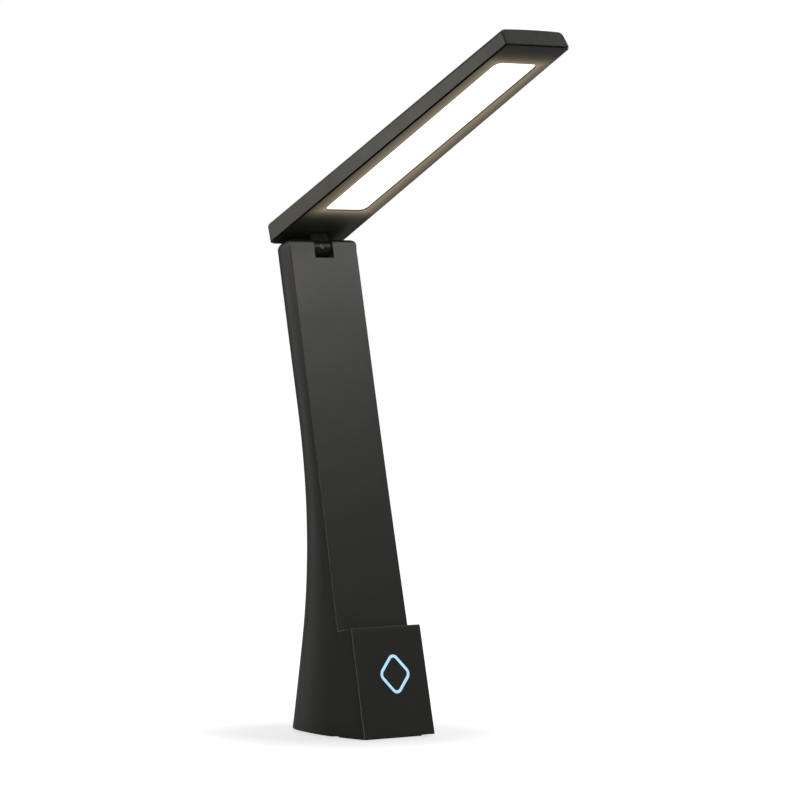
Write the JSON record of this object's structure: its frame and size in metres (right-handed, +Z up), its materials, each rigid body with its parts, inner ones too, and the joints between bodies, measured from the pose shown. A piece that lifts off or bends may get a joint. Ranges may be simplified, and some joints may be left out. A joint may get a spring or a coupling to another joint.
{
  "type": "folding desk lamp",
  "caption": "Folding desk lamp: a leaning tower with a flared foot and a flat lit head on a friction hinge that folds down flush over the tower's face.",
  "frame": {"origin": "On the desk, in the middle of the base between its front edge and its rearmost point.", "axes": "+Z up, the tower's face and the head's tip point to -Y, X across the lamp."},
  "size_m": [0.0538, 0.2133, 0.387],
  "materials": {
    "shell_black": "satin black moulding with a very fine even grain",
    "cover_black": "satin black flat face with a very fine grain",
    "head_black": "satin black moulding with a very fine even grain",
    "knuckle_black": "smooth black moulding",
    "inner_black": "plain black moulding",
    "pad_rubber": "dull black rubber",
    "screw_steel": "plated steel",
    "screw_black": "blackened steel",
    "ballast_steel": "raw steel plate",
    "socket_steel": "plated steel shell",
    "bracket_steel": "satin steel",
    "contact_brass": "bright spring metal",
    "cell_wrap": "shrink wrap",
    "board_green": "solder resist",
    "ring_lit": "clear light guide, lit pale blue",
    "chip_blue": "small surface lights",
    "wire_red": "insulated wire",
    "diffuser_lit": "opal diffuser, lit white",
    "tray_white": "white reflective",
    "chip_warm": "yellow light chips",
    "heat_aluminium": "rolled sheet"
  },
  "bodies": {
    "tower": {"rear_shell": "shell_black", "front_cover": "cover_black", "base_plate": "inner_black", "base_pad": "pad_rubber", "base_screws": "screw_steel", "ballast": "ballast_steel", "battery_cradle": "inner_black", "battery_cell": "cell_wrap", "cradle_screws": "screw_steel", "charge_board": "board_green", "charge_socket": "socket_steel", "control_board": "board_green", "board_screws": "screw_steel", "touch_contact": "contact_brass", "touch_ring": "ring_lit", "touch_cap": "cover_black", "ring_lights": "chip_blue", "hinge_bracket": "bracket_steel", "bracket_screws": "screw_steel", "tower_wire": "wire_red"},
    "head": {"hinge_pin": "bracket_steel", "friction_washers": "bracket_steel", "pin_nut": "screw_steel", "hinge_knuckle": "knuckle_black", "lock_screw": "screw_black", "knuckle_screws": "screw_steel", "head_shell": "head_black", "light_frame": "head_black", "diffuser": "diffuser_lit", "reflector_tray": "tray_white", "led_board": "tray_white", "light_chips": "chip_warm", "heat_plate": "heat_aluminium", "head_wire": "wire_red"}
  },
  "joints": [
    {"name": "head_fold", "type": "hinge", "parent": "tower", "child": "head", "pos_m": [0, 0.03126, 0.27295], "axis": [1, 0, 0], "range_deg": [-2, 105]}
  ]
}
